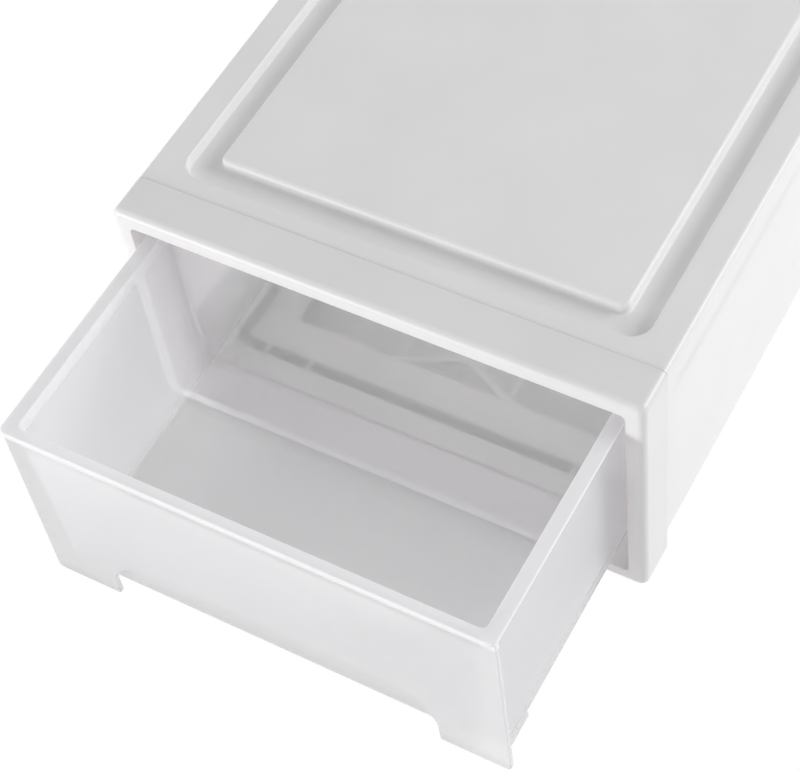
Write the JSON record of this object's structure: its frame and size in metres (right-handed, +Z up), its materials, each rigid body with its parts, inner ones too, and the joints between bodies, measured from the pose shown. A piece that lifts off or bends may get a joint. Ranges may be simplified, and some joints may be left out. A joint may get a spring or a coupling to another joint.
{
  "type": "stackable drawer box",
  "caption": "White stackable plastic box with a frosted pull-out drawer, a stacking groove on top and a ring foot below.",
  "frame": {"origin": "middle of the casing's plan, on the flat underside of the ring foot", "axes": "+Z up, +Y from the drawer front to the back, +X to the right seen from the front"},
  "size_m": [0.26, 0.4512, 0.1434],
  "materials": {
    "casing_white": "fine satin, opaque white polypropylene",
    "drawer_frosted": "frosted translucent polypropylene"
  },
  "bodies": {
    "casing": {"front_frame": "casing_white", "body_shell": "casing_white", "back_panel": "casing_white", "base_frame": "casing_white", "guide_rail_left": "casing_white", "guide_rail_right": "casing_white"},
    "drawer": {"drawer_tray": "drawer_frosted"}
  },
  "joints": [
    {"name": "drawer_slide", "type": "slide", "parent": "casing", "child": "drawer", "axis": [0, -1, 0], "range_m": [-0.1075, 0.1618]}
  ]
}
